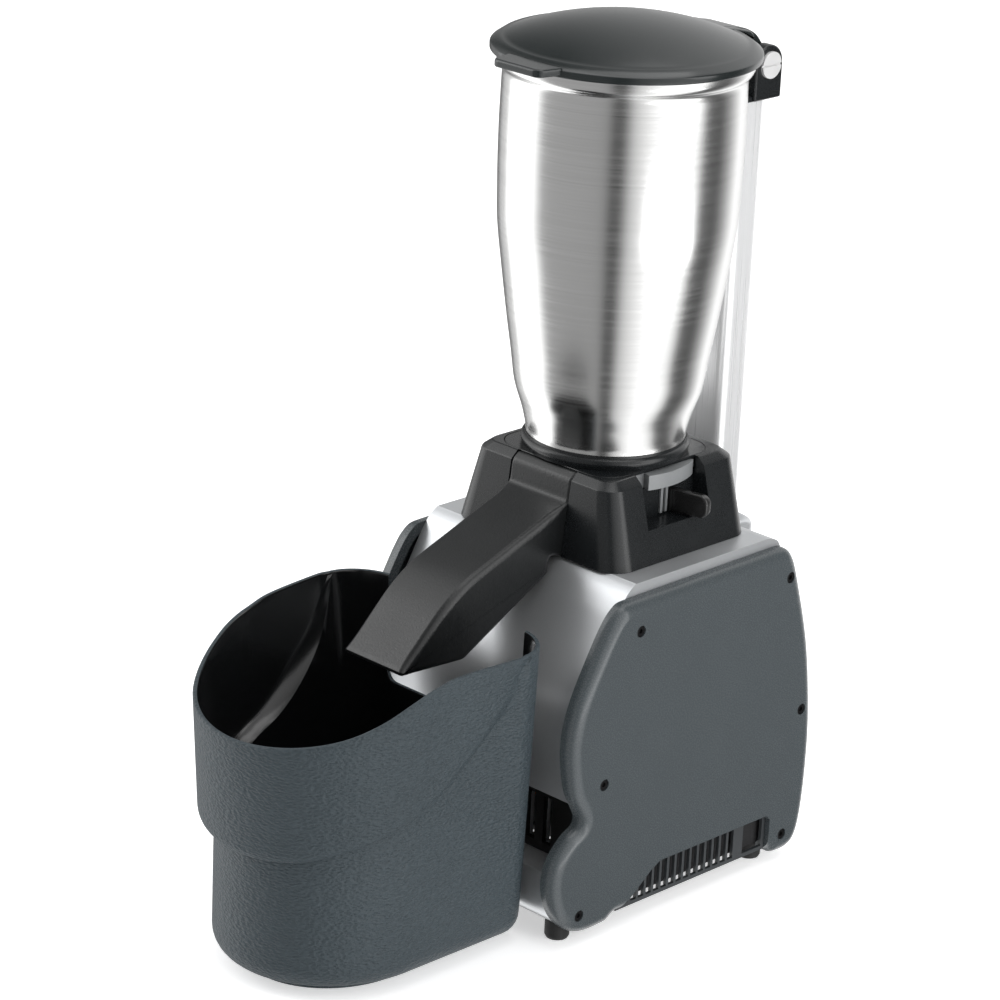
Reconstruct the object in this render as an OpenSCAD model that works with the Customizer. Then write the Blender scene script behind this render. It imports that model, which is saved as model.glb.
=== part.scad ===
// Countertop bar ice crusher. Millimetres, +Z up, front towards -Y.
// The origin is on the worktop, under the middle of the outer box.
// Sub-parts are drawn about the hopper's own axis and then set in place by at_axis().

/* [Outer box] */
// Whole width, over the two side covers
width = 164; // [160:1:170]
// Distance from the hopper axis to the front of the bin
front_reach = 263.5; // [262:0.5:266]
// Distance from the hopper axis to the back of the lid hinge
rear_reach = 100.5; // [100:0.5:102]

/* [Body] */
// Thickness of each side cover
cover_t = 9; // [8:0.5:10]
// Wall of the body casting
wall = 3; // [2.5:0.5:4]
// Height of the body's flat top
body_top = 191; // [190:1:192]
// Height of the base plate above the worktop
floor_z = 12; // [11:0.5:13]
// Radius of a foot
foot_r = 6.6; // [6:0.2:8]

/* [Crushing head] */
// Height of the housing's top face
head_top = 236; // [235:0.5:237]
// Radius of the crushing chamber
chamber_r = 40.3; // [40:0.1:41]
// Radius of the crushing disc
disc_r = 37.2; // [36:0.1:37.4]
// Angle of the lever from the +X axis at rest
lever_a = 10; // [8:1:12]
// Running gap between the adjuster and the fixed parts
gap = 0.3; // [0.25:0.05:0.4]

/* [Hopper and lid] */
// Height of the hopper's rim
rim_z = 450; // [449:0.5:451]
// Sheet thickness of the hopper
sheet = 1.2; // [1:0.1:1.5]
// Outer radius of the lid
lid_r = 70; // [69:0.5:71]
// Height of the middle of the lid
lid_top = 466.5; // [465:0.5:468]
// Distance of the hinge axis behind the hopper axis
hinge_y = 90; // [89:0.5:91]
// Height of the hinge axis
hinge_z = 432; // [431:0.5:433]
// Radius of the hinge block's round top
hinge_r = 10.5; // [10:0.5:10.5]

/* [Ice bin] */
// Wall of the bin
bin_t = 2.6; // [2:0.1:3.5]
// Half width of the bin's upper part
bin_w = 75.8; // [74:0.2:76]
// Half width of the bin's lower part
bin_foot_w = 61; // [58:1:62]
// Underside of the bin, above the counter
bin_floor = 5; // [3:0.5:6]
// Height of the notch that the spout passes over
notch_z = 113; // [105:1:118]

/* [Motor] */
// Outer radius of the stator
stator_r = 54; // [48:1:55]
// Radius of the drive shaft
shaft_r = 8; // [7:0.5:9]

/* [Hidden] */
$fn = 64;

plate_z = head_top - 1.6;
boss_top = body_top - 10.5;
column_foot = 118;
column_top = 413.2;
switch_y = 45;
switch_z = 150;
axis_y = (front_reach - rear_reach) / 2;
cover_x = width / 2;
body_x = cover_x - cover_t;
eps = 0.01;

// A smooth curve through hand-placed points, with n steps between neighbours.
function blend(a, b, c, d, t) = 0.5 * (2 * b + (c - a) * t + (2 * a - 5 * b + 4 * c - d) * t * t
    + (3 * b - a - 3 * c + d) * t * t * t);
function curve(p, n = 4) = [for (i = [0:len(p) - 2], k = [0:n - 1])
    blend(p[max(i - 1, 0)], p[i], p[i + 1], p[min(i + 2, len(p) - 1)], k / n), p[len(p) - 1]];
function unit(v) = v / norm(v);
// The outline p moved inwards by d, for an outline that runs clockwise.
function inset(p, d) = [for (i = [0:len(p) - 1])
    let (n = len(p), u = unit(p[(i + 1) % n] - p[(i + n - 1) % n])) p[i] + d * [u[1], -u[0]]];
function arc(c, r, a, b, n = 6) = [for (k = [0:n]) c + r * [cos(a + (b - a) * k / n), sin(a + (b - a) * k / n)]];

module at_axis() { translate([0, axis_y, 0]) children(); }
// Stands a side-view outline, given as [y, z], up between two x positions.
module slab(x0, x1) {
    translate([x0, 0, 0]) rotate([90, 0, 90]) linear_extrude(x1 - x0) children();
}
module ring(r_in, r_out, z0, z1) {
    translate([0, 0, z0]) difference() {
        cylinder(r = r_out, h = z1 - z0);
        translate([0, 0, -1]) cylinder(r = r_in, h = z1 - z0 + 2);
    }
}
module disc(r, z0, z1) { translate([0, 0, z0]) cylinder(r = r, h = z1 - z0); }
// A cylinder along X, from x0 to x1, about the point [y, z].
module cross_pin(r, x0, x1, y, z) { translate([x0, y, z]) rotate([0, 90, 0]) cylinder(r = r, h = x1 - x0); }
// A cylinder along Y, from y0 to y1, about the point [x, z].
module long_pin(r, y0, y1, x, z) { translate([x, y0, z]) rotate([-90, 0, 0]) cylinder(r = r, h = y1 - y0); }
module rounded(w, y0, y1, r) {
    for (s = [1, -1]) {
        translate([s * (w - r), y0 + r]) circle(r);
        translate([s * (w - r), y1 - r]) circle(r);
    }
    translate([-w + r, y0]) square([2 * (w - r), y1 - y0]);
    translate([-w, y0 + r]) square([2 * w, y1 - y0 - 2 * r]);
}
module block(x0, x1, y0, y1, z0, z1) { translate([x0, y0, z0]) cube([x1 - x0, y1 - y0, z1 - z0]); }

// ---- body ----
// Side view of a cover, clockwise from the front of its top edge: two lobes in front,
// with a waist between them, a long bowed back and a lifted sill over the vent grille.
cover_outline = concat(
    curve([[-66, 185.5], [-58, 188.5], [-40, 189], [40, 189], [54, 188], [62.5, 183], [71.5, 169],
        [84, 127], [90.5, 84], [91.3, 50], [89, 22], [84.5, 9], [77, 4.6], [66, 4.6]], 3),
    [[61, 9.5], [-61, 9.5]],
    curve([[-66, 5.6], [-84, 5.6], [-96, 11], [-106, 23], [-110.6, 38], [-108, 52], [-98, 63],
        [-90.5, 67], [-88.5, 71], [-91, 77], [-97.5, 90], [-101, 112], [-99, 128], [-93.5, 143],
        [-81, 166], [-71.5, 180]], 3));
// The body casting follows the covers, a little inside them, with its front scooped back.
body_outline = concat(
    [[-56, body_top], [58, body_top]],
    curve([[63, 186], [70, 169], [82, 127], [88, 84], [88.8, 50], [86.5, 22], [82, floor_z]], 2),
    curve([[-96, floor_z], [-101, 17], [-102, 27], [-99, 39.2]], 2),
    [[-78, 39.2], [-78, 75.9]],
    curve([[-86, 75.9], [-89.5, 90], [-91, 112], [-89, 128], [-83, 143], [-69.5, 166], [-58.5, 184]], 2));
body_inner = concat(
    [[-53, body_top - 4], [56, body_top - 4]],
    curve([[60, 183], [66.7, 168], [78.7, 126], [84.7, 84], [85.5, 50], [83.4, 24], [80.5, 16]], 2),
    [[80.5, floor_z - 1], [-94, floor_z - 1], [-94, 16], [-97, 20], [-98.5, 27], [-96.5, 36], [-74.8, 36], [-74.8, 79]],
    curve([[-83.5, 79], [-86.3, 91], [-87.6, 112], [-85.7, 127], [-79.8, 141.5], [-66.5, 164], [-55.5, 182]], 2));
vent_outline = [[-59, 9], [-35, 27.5], [-28, 31], [57, 31], [60, 28], [60, 9]];
screw_spots = [[-54, 168.5], [63, 169], [80, 88], [-75.5, 88.5], [71, 16], [-89.5, 18]];
foot_spots = [for (s = [-1, 1], y = [-88, 63.5]) [s * 65.5, y]];
post_spots = [for (a = [45:90:315]) 50 * [cos(a), sin(a)]];

module body_shell() {
    color([0.70, 0.72, 0.74]) difference() {
        union() {
            slab(-body_x, body_x) polygon(body_outline);
            // Boss behind the top, that the column is clamped in.
            intersection() {
                translate([0, 0, 90]) linear_extrude(boss_top - 90) rounded(30, 55, 95, 9);
                slab(-31, 31) polygon([[50, 200], [96, 200], [96, 112], [86, 96], [50, 96]]);
            }
        }
        slab(-body_x - 1, body_x + 1) polygon(body_inner);
        translate([0, 0, column_foot]) linear_extrude(100) column_plan(0);
        for (z = [130, 160]) long_pin(2.6, 90, 96, 0, z);
        disc(15.2, body_top - 8, body_top + 1);
        long_pin(8.2, 80, 100, 0, 42);
        for (p = post_spots) translate(p) disc(2.7, body_top - 8, body_top + 1);
        // The rear of the recess stays open towards the cooling fan.
        for (x = [-48:12:48]) block(x - 3, x + 3, -80, -70, 44, 71);
    }
}
module base_plate() {
    color([0.30, 0.31, 0.32]) difference() {
        block(-body_x, body_x, -94, 80.5, floor_z + 0.2, floor_z + 3);
        for (p = foot_spots) translate(p) disc(2.3, floor_z - 1, floor_z + 4);
        for (x = [-36:12:36]) block(x - 3, x + 3, -30, 30, floor_z - 1, floor_z + 4);
    }
}
// A cover is four layers, each inset more than the last, that round its outer edge,
// hollowed from behind to a plain tray.
module cover(with_switch = false) {
    edge = [[0, 4], [1, 6.3], [2.6, 8], [5, cover_t]];
    difference() {
        union() {
            slab(0, edge[0][1]) polygon(cover_outline);
            for (i = [1:3]) slab(edge[i - 1][1] - eps, edge[i][1]) polygon(inset(cover_outline, edge[i][0]));
        }
        slab(-1, cover_t - 3) polygon(inset(cover_outline, 6));
        slab(-1, cover_t + 1) polygon(vent_outline);
        for (p = screw_spots) cross_pin(3.2, cover_t - 2.2, cover_t + 1, p[0], p[1]);
        if (with_switch) block(cover_t - 4, cover_t + 1, switch_y - 12, switch_y + 12, switch_z - 17, switch_z + 17);
    }
}
module right_cover() { color([0.29, 0.31, 0.33]) translate([body_x, 0, 0]) cover(); }
module left_cover() {
    color([0.29, 0.31, 0.33]) translate([-body_x, 0, 0]) mirror([1, 0, 0]) cover(true);
}
module grille() {
    t = 2;
    difference() {
        slab(0, t) polygon([[-58.1, 9.6], [-50.3, 15.7], [-54, 16], [-38, 29.5], [-29, 33.5], [58, 33.5],
            [61, 30], [61, 16], [59.8, 15.8], [59.8, 9.6]]);
        for (i = [0:14]) {
            y = -52.5 + i * 5.9;
            block(-1, t + 1, y, y + 4.1, 11.8, min(29.5, 14 + (y + 52.5) * 0.77));
        }
        // Open hand hold behind the slots.
        block(-1, t + 1, 42, 57.5, 11.8, 29.5);
    }
}
module right_grille() { color([0.27, 0.29, 0.31]) translate([body_x + 3.8, 0, 0]) grille(); }
module left_grille() { color([0.27, 0.29, 0.31]) translate([-body_x - 5.8, 0, 0]) grille(); }
module cover_screws() {
    for (p = screw_spots) difference() {
        cross_pin(2.9, cover_t - 2.2, cover_t - 0.6, p[0], p[1]);
        cross_pin(1.4, cover_t - 1.6, cover_t, p[0], p[1], $fn = 6);
    }
}
module right_cover_screws() { color([0.2, 0.2, 0.21]) translate([body_x, 0, 0]) cover_screws(); }
module left_cover_screws() {
    color([0.2, 0.2, 0.21]) translate([-body_x, 0, 0]) mirror([1, 0, 0]) cover_screws();
}
module feet() {
    color([0.06, 0.06, 0.06]) for (p = foot_spots) translate(p) difference() {
        union() {
            cylinder(r1 = foot_r - 0.8, r2 = foot_r, h = 1.5);
            disc(foot_r, 1.5, floor_z + 0.2);
        }
        disc(4.2, -1, 6.25);
        disc(2.1, 3, floor_z + 1);
    }
}
module foot_screws() {
    color([0.6, 0.6, 0.6]) for (p = foot_spots) translate(p) {
        disc(3.8, 4, 6.2);
        disc(2.05, 6.2 - eps, floor_z + 8);
    }
}
module recess_panel() {
    color([0.05, 0.05, 0.05]) difference() {
        block(-body_x, body_x, -81, -78, 39.4, 75.7);
        for (x = [-48:12:48]) block(x - 3, x + 3, -82, -77, 44, 71);
    }
}
module rating_plate() {
    color([0.75, 0.75, 0.76]) block(-22, 22, 88.3, 89.2, 57, 79);
}

// ---- crushing head ----
// Side view of the spout's outside: an insert in the sloped front of the housing, a
// falling duct that steepens, and a mouth that opens straight down over the bin.
spout_w = 21.6;
spout_top = concat([[-42, plate_z - 0.2], [-43.2, head_top], [-47.9, 232]],
    curve([[-49.3, 220.3], [-80, 208.9], [-112, 197], [-122, 192.6], [-131.5, 186.7], [-140, 179.8],
        [-153, 167.4], [-166, 155]], 2));
spout_outline = concat([[-35, 226]], [[-35, plate_z - 0.2]], spout_top, [[-164, 152.4], [-120, 150], [-60, 183.2],
    [-60, body_top + 0.3], [-35, body_top + 0.3]]);
spout_bore = concat([[-33, 222]], curve([[-50, 216], [-80, 205.4], [-111, 194], [-138, 177.4], [-160, 156.5]], 4),
    [[-161, 148], [-121, 148], [-119.5, 153.4], [-60, 186.7], [-52, 195], [-33, 195]]);

// Levels of the head: height, half width, reach to the front and to the back, corner radius.
head_levels = [[body_top, 60.3, 53, 54, 14], [232, 49.6, 48, 50.5, 10], [head_top, 45, 43.5, 46, 8]];
// How far a level reaches in the plan direction a.
function reach(l, a) = (l[1] - l[4]) * abs(cos(a)) + ((sin(a) < 0 ? l[2] : l[3]) - l[4]) * abs(sin(a)) + l[4];
// A tapered block with rounded corners, cut from one sloped slab for each plan direction.
module head_solid() {
    intersection_for(a = [0:22.5:337.5])
        rotate(a) translate([0, 100, 0]) rotate([90, 0, 0]) linear_extrude(200)
            polygon(concat([[-100, head_top], [-100, body_top]], [for (l = head_levels) [reach(l, a), l[0]]]));
}
module crusher_housing() {
    color([0.05, 0.05, 0.055]) difference() {
        head_solid();
        disc(chamber_r, body_top + 4, head_top + 1);
        disc(15, body_top - 1, body_top + 5);
        // Inlaid plate, then the seat of the adjuster's ring and the pocket of its scale arc.
        translate([0, 0, plate_z]) linear_extrude(3) rounded(42.3, -42.3, 42.3, 15.3);
        disc(43.7, 225.5, plate_z + 0.1);
        rotate(-50) rotate_extrude(angle = 88) translate([42, 225.7]) square([6.9, plate_z - 225.7]);
        // Window of the lever, in the right flank, open to the ring and its skirt.
        block(43, 64, -24, 24, 208.5, head_top + 1);
        block(30, 44, -24, 24, 208.5, 225.8);
        // Slot that the spout's insert fills.
        block(-spout_w, spout_w, -70, -33, body_top - 1, head_top + 1);
        for (p = post_spots) translate(p) disc(2.7, body_top - 1, body_top + 12);
    }
}
module housing_plate() {
    color([0.06, 0.06, 0.065]) difference() {
        translate([0, 0, plate_z]) linear_extrude(head_top - plate_z) rounded(42, -42, 42, 15);
        disc(38.6, head_top - 3, head_top + 3);
    }
}
module spout() {
    color([0.07, 0.07, 0.075]) difference() {
        slab(-spout_w, spout_w) polygon(spout_outline);
        slab(-spout_w + 2.4, spout_w - 2.4) polygon(spout_bore);
        disc(43.7, 225.7, plate_z);
        disc(chamber_r, body_top - 1, head_top + 1);
    }
}
module hopper_collar() {
    color([0.04, 0.04, 0.045]) rotate_extrude($fn = 96)
        polygon(concat([[36.4, head_top], [43.8, head_top]], arc([41.9, 239.5], 2.7, -35, 60),
            [[42.9, 244], [42.6, 244], [42.6, 238.3], [36.4, 238.3]]));
}
module fixed_blades() {
    color([0.75, 0.76, 0.77]) intersection() {
        union() for (a = [30, 150, 270]) rotate(a) block(20, 60, -2, 2, 217.5, head_top);
        disc(37, 210, 240);
    }
    color([0.75, 0.76, 0.77]) ring(36.4, 37.8, 228, head_top);
}
hopper_side = [[42.5, 238.4], [42.6, 246], [45.3, 257], [49.7, 271], [52.4, 288], [55.6, 308], [59.2, 333],
    [62.2, 357], [63.1, 378], [63.5, 396], [63.5, 415], [63.1, 437]];
module hopper() {
    outer = concat(curve(hopper_side, 3), [[65.4, 441], [66.4, 444], [66.4, rim_z]]);
    inner = concat([[65.2, rim_z], [65.2, 444.4], [64.3, 441.7], [61.9, 438]],
        [for (i = [len(hopper_side) - 2:-1:1]) hopper_side[i] - [sheet, 0]], [[41.3, 238.4]]);
    color([0.78, 0.79, 0.80]) rotate_extrude($fn = 96) polygon(concat(outer, inner));
}
module column_plan(t) { rounded(18 - t, 71 + t, 92 - t, 5 - t / 2); }
module column() {
    color([0.72, 0.73, 0.74]) difference() {
        translate([0, 0, column_foot]) linear_extrude(column_top - column_foot) column_plan(0);
        translate([0, 0, column_foot - 1]) linear_extrude(column_top) column_plan(3);
        for (z = [130, 160]) long_pin(2.5, 88, 96, 0, z);
    }
}
module column_screws() {
    color([0.6, 0.6, 0.62]) for (z = [130, 160]) {
        long_pin(2.5, 86, 95.1, 0, z);
        long_pin(4.6, 95, 98, 0, z);
    }
}
// The block plugs into the column and carries two cheeks, one each side of the knuckle.
module hinge_block() {
    y0 = hinge_y - hinge_r;
    y1 = hinge_y + hinge_r;
    color([0.045, 0.045, 0.05]) difference() {
        union() {
            block(-20, 20, y0, y1, column_top, hinge_z);
            cross_pin(hinge_r, -20, 20, hinge_y, hinge_z);
            translate([0, 0, column_top]) linear_extrude(3) column_plan(-0.4);
            translate([0, 0, column_top - 15]) linear_extrude(16) column_plan(3.1);
        }
        block(-13.4, 13.4, y0 - 1, y1 + 1, 420.5, 450);
        cross_pin(3.06, -21, 21, hinge_y, hinge_z);
        block(-7, 7, 75, 88, column_top - 16, column_top - 1);
    }
}
module hinge_pin() {
    color([0.75, 0.75, 0.76]) difference() {
        union() {
            cross_pin(3, -20, 20, hinge_y, hinge_z);
            for (s = [-1, 1]) cross_pin(7.2, s > 0 ? 20 : -21.6, s > 0 ? 21.6 : -20, hinge_y, hinge_z);
        }
        for (s = [-1, 1]) block(s * 21.4 - 0.6, s * 21.4 + 0.6, 80, 100, hinge_z - 0.6, hinge_z + 0.6);
    }
}
module interlock_switch() {
    color([0.5, 0.1, 0.08]) block(-6, 6, 76, 87, column_top - 14, column_top - 1);
}

// ---- motor ----
module upper_bracket() {
    color([0.6, 0.62, 0.63]) {
        difference() {
            disc(58, 134, 141);
            disc(16, 133, 142);
            for (a = [0:60:300]) rotate(a) translate([35, 0]) disc(7, 133, 142);
            for (p = post_spots) translate(p * 1.04) disc(2.1, 133, 142);
        }
        for (p = post_spots) translate(p) difference() {
            disc(6, 141 - eps, body_top - 4);
            translate(p * 0.04) disc(2.5, 140, 146);
            disc(2.5, body_top - 20, body_top);
        }
        ring(12, 16, 134, 141);
    }
}
module lower_bracket() {
    color([0.6, 0.62, 0.63]) {
        difference() {
            disc(58, 38, 44);
            disc(16, 37, 45);
            for (a = [0:60:300]) rotate(a) translate([35, 0]) disc(7, 37, 45);
            for (p = post_spots) translate(p * 1.04) disc(2.1, 37, 45);
        }
        ring(12, 16, 38, 44);
    }
}
module stator() {
    color([0.35, 0.36, 0.38]) difference() {
        ring(29.5, stator_r, 62, 118);
        for (p = post_spots) translate(p * 1.04) disc(2.3, 60, 120);
    }
}
module windings() {
    color([0.72, 0.35, 0.16]) for (z = [[48, 62], [118, 130]]) ring(31, 47, z[0], z[1]);
}
module through_bolts() {
    color([0.6, 0.6, 0.62]) for (p = post_spots) translate(p * 1.04) {
        disc(2, 36, 143);
        disc(3.8, 34, 37.9);
    }
}
module upper_bearing() { color([0.7, 0.7, 0.72]) ring(shaft_r, 12, 134.5, 140.5); }
module lower_bearing() { color([0.7, 0.7, 0.72]) ring(shaft_r, 12, 38.2, 43.8); }
module shaft_seal() { color([0.1, 0.1, 0.1]) ring(shaft_r + 0.05, 15, body_top - 3.8, body_top + 3.8); }
module head_studs() {
    color([0.6, 0.6, 0.62]) for (p = post_spots) translate(p) disc(2.5, body_top - 20, body_top + 12);
}
module capacitor() { color([0.85, 0.85, 0.82]) translate([-46, 66]) disc(14, floor_z + 3.1, 92); }
module terminal_block() {
    color([0.85, 0.83, 0.75]) {
        block(26, 62, 64, 76, floor_z + 3, floor_z + 18);
        for (x = [30:8:58]) translate([x, 70]) disc(2.6, floor_z + 18 - eps, floor_z + 20);
    }
}
module cable_gland() {
    color([0.07, 0.07, 0.07]) difference() {
        union() {
            long_pin(8, 82, 92, 0, 42);
            long_pin(11, 89.2, 92.5, 0, 42);
            long_pin(9, 92.4, rear_reach, 0, 42);
            long_pin(11.5, 81, 83, 0, 42);
        }
        long_pin(4, 79, rear_reach + 1, 0, 42);
    }
}
module switch_body() {
    color([0.05, 0.05, 0.05]) translate([-cover_x, switch_y, switch_z]) difference() {
        union() {
            block(1, 3.1, -11.7, 11.7, -16.7, 16.7);
            block(3.05, 5, -14, 14, -19, 19);
            block(5 - eps, 24, -10, 10, -14, 14);
        }
        block(0, 6, -8.3, 8.3, -12.2, 12.2);
        block(5, 13, -8.3, 8.3, -10.2, 10.2);
    }
}
// Drawn tilted to OFF about its pivot, 9 mm inside the cover's face.
module rocker() {
    color([0.1, 0.35, 0.15]) translate([-cover_x + 9, switch_y, switch_z]) rotate([0, 8, 0])
        rotate([90, 0, 0]) {
            translate([0, 0, -8]) linear_extrude(16)
                polygon([[-6.4, -9], [-5, 0], [-6.4, 9], [1, 8.4], [1, -8.4]]);
            // Trunnions that it rocks on.
            disc(1.8, -8.2, 8.2);
        }
}

// ---- rotor ----
module shaft() {
    color([0.78, 0.78, 0.8]) {
        disc(shaft_r - 0.05, 20, 197 + eps);
        disc(6, 197, 214);
    }
}
module motor_rotor() { color([0.45, 0.46, 0.5]) ring(shaft_r - 0.05, 28.8, 62, 118); }
module cooling_fan() {
    color([0.12, 0.12, 0.13]) {
        ring(shaft_r - 0.05, 13, 21, 33);
        ring(12, 44, 31.5, 33.5);
        for (a = [0:40:320]) rotate(a) block(12.5, 43, -1, 1, 21, 32);
    }
}
module crusher_disc() {
    color([0.8, 0.81, 0.82]) {
        ring(6, disc_r, 197, 201.5);
        ring(6, 13, 201, 208);
        for (a = [20:120:260]) rotate(a) block(12, 35, -2.2, 2.2, 201, 215.5);
    }
}
module disc_nut() {
    color([0.8, 0.8, 0.8]) difference() {
        translate([0, 0, 208]) cylinder(r = 10, h = 5, $fn = 6);
        disc(6, 207, 214);
    }
}

// ---- lid ----
module lid() {
    dome = arc([0, lid_top - 170], 170, 90 - 22.3, 90, 10);
    inner = arc([0, lid_top - 171.8], 169, 90, 90 - 21.6, 10);
    color([0.16, 0.18, 0.18]) union() {
        rotate_extrude($fn = 96) polygon(concat([[67.4, 447.4], [69, 447.4], [lid_r, 448.4], [lid_r, 450.8]],
            dome, inner, [[62.4, rim_z + 0.3], [67.4, rim_z + 0.3]]));
        // Thumb tab in front, between the rim and a trapezoid edge.
        difference() {
            translate([0, 0, 448.6]) linear_extrude(4.2)
                polygon([[-21, -64], [-16, -79.5], [-13, -81], [13, -81], [16, -79.5], [21, -64]]);
            disc(67.4, 440, rim_z + 0.3);
        }
        // Arm to the hinge.
        difference() {
            slab(-13, 13) polygon([[60, 450.5], [60, 455], [78, 451.5], [86, 447.5], [92, 441.5], [92, 438],
                [76, 438.5], [72, 447.5], [67.6, 447.5], [67.6, 450.5]]);
            cross_pin(9.3, -14, 14, hinge_y, hinge_z);
        }
        for (s = [-1, 1]) slab(s > 0 ? 12.9 : -18, s > 0 ? 18 : -12.9)
            polygon([[60, 450.5], [60, 455], [76, 451.8], [78.5, 450], [79, 446.5], [70, 446.5], [70, 450.5]]);
    }
}
module lid_knuckle() {
    color([0.05, 0.05, 0.05]) difference() {
        cross_pin(9.3, -13, 13, hinge_y, hinge_z);
        cross_pin(3.06, -14, 14, hinge_y, hinge_z);
        cross_pin(2.6, -4, 4, hinge_y - 6, hinge_z - 3);
    }
}
module lid_magnet() { color([0.5, 0.5, 0.52]) cross_pin(2.5, -4, 4, hinge_y - 6, hinge_z - 3); }

// ---- adjuster ----
module adjuster_ring() {
    r = chamber_r - gap;
    color([0.42, 0.44, 0.45]) {
        difference() {
            union() {
                ring(r - 1.8, r, 204, 226.5);
                ring(r - 1.8, 43.4, 226, plate_z - gap);
            }
            // The way out of the chamber, with two crushing teeth left in it.
            difference() {
                block(-19, 19, -50, 0, 203, 221);
                for (x = [-7, 7]) block(x - 1.6, x + 1.6, -50, 0, 203, 221);
            }
        }
        rotate(lever_a - 28) rotate_extrude(angle = 46) translate([43.3, 226]) square([5.2, plate_z - gap - 226]);
        // Ribs on the skirt, behind the window.
        for (a = [-11, -6]) rotate(lever_a + a) block(r - 0.5, 43.2, -0.9, 0.9, 209.5, 226.2);
    }
}
module adjuster_lever() {
    color([0.05, 0.05, 0.055]) rotate(lever_a) rotate([90, 0, 0]) translate([0, 0, -2.3]) linear_extrude(4.6) {
        translate([41, 209.5]) square([19, 12.5]);
        translate([41, 209.5]) square([6.5, 16.5]);
        for (z = [214.5, 217]) translate([61.5, z]) circle(5);
        translate([41, 214.5]) square([25.5, 2.5]);
    }
}

// ---- ice bin ----
// Plan of a bin wall: straight back with round corners, tapering sides and an oval front.
function half_plan(w, rc, a, b, y0, y_rear) = concat(arc([w - rc, y_rear - rc], rc, 90, 0),
    [for (t = [0:7.5:90]) [a * cos(t), y0 - b * sin(t)]]);
function plan(w, rc, a, b, y0, y_rear) = let (h = half_plan(w, rc, a, b, y0, y_rear), n = len(h))
    concat(h, [for (i = [n - 2:-1:0]) [-h[i][0], h[i][1]]]);
bin_rear = -104.5;
bin_front = -front_reach;
rim_line = curve([[-95, 172.5], [-165, 172.5], [-186, 169.6], [-202, 164.5], [-218, 157], [-234, 150], [-250, 144.8], [-275, 138]], 3);
step_line = curve([[-95, 175], [-111, 159], [-127, 141], [-150, 125], [-181, 106], [-198, 97.5], [-215, 90.5],
    [-240, 83], [-275, 74]], 3);
module bin_upper(d) { polygon(plan(bin_w - d, 30 - d, 70.5 - d, -190 - bin_front - d, -190, bin_rear - d)); }
module bin_lower(d) { polygon(plan(bin_foot_w - d, 14 - d, 60 - d, 66 - d, -186, bin_rear - d)); }
module ice_bin() {
    up = [[-275, 190], [-90, 190]];
    color([0.27, 0.30, 0.33]) difference() {
        union() {
            // The bin stands on a plinth, set well back under its floor.
            translate([0, 0, 0.6]) linear_extrude(bin_floor + 1) polygon(plan(45, 8, 44, 50, -186, bin_rear - 16));
            intersection() {
                translate([0, 0, bin_floor]) linear_extrude(180) bin_lower(0);
                slab(-90, 90) polygon(concat(rim_line, [[-275, -1], [-90, -1]]));
            }
            intersection() {
                linear_extrude(180) bin_upper(0);
                slab(-90, 90) polygon(concat(rim_line, [for (i = [len(step_line) - 1:-1:0]) step_line[i]]));
            }
        }
        translate([0, 0, bin_floor + 3]) linear_extrude(190) bin_lower(bin_t);
        intersection() {
            linear_extrude(190) bin_upper(bin_t);
            slab(-95, 95) polygon(concat([for (p = step_line) p + [0, bin_t + 0.6]], up));
        }
        block(-50, 50, -125, -90, notch_z, 190);
        for (s = [-1, 1]) long_pin(2, -110, -100, s * 48, 99);
    }
}

at_axis() body_shell();
at_axis() base_plate();
at_axis() right_cover();
at_axis() left_cover();
at_axis() right_grille();
at_axis() left_grille();
at_axis() right_cover_screws();
at_axis() left_cover_screws();
at_axis() feet();
at_axis() foot_screws();
at_axis() recess_panel();
at_axis() crusher_housing();
at_axis() housing_plate();
at_axis() spout();
at_axis() hopper_collar();
at_axis() fixed_blades();
at_axis() hopper();
at_axis() column();
at_axis() column_screws();
at_axis() hinge_block();
at_axis() hinge_pin();
at_axis() interlock_switch();
at_axis() rating_plate();
at_axis() upper_bracket();
at_axis() lower_bracket();
at_axis() stator();
at_axis() windings();
at_axis() through_bolts();
at_axis() upper_bearing();
at_axis() lower_bearing();
at_axis() shaft_seal();
at_axis() head_studs();
at_axis() capacitor();
at_axis() terminal_block();
at_axis() cable_gland();
at_axis() switch_body();
at_axis() shaft();
at_axis() motor_rotor();
at_axis() cooling_fan();
at_axis() crusher_disc();
at_axis() disc_nut();
at_axis() lid();
at_axis() lid_knuckle();
at_axis() lid_magnet();
at_axis() adjuster_ring();
at_axis() adjuster_lever();
at_axis() rocker();
at_axis() ice_bin();
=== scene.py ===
"""A countertop bar ice crusher: motor body, crushing head, steel hopper with a hinged lid,
spout and ice bin."""

import math

import bmesh
import bpy
import numpy as np
from mathutils import Matrix, Vector


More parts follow.
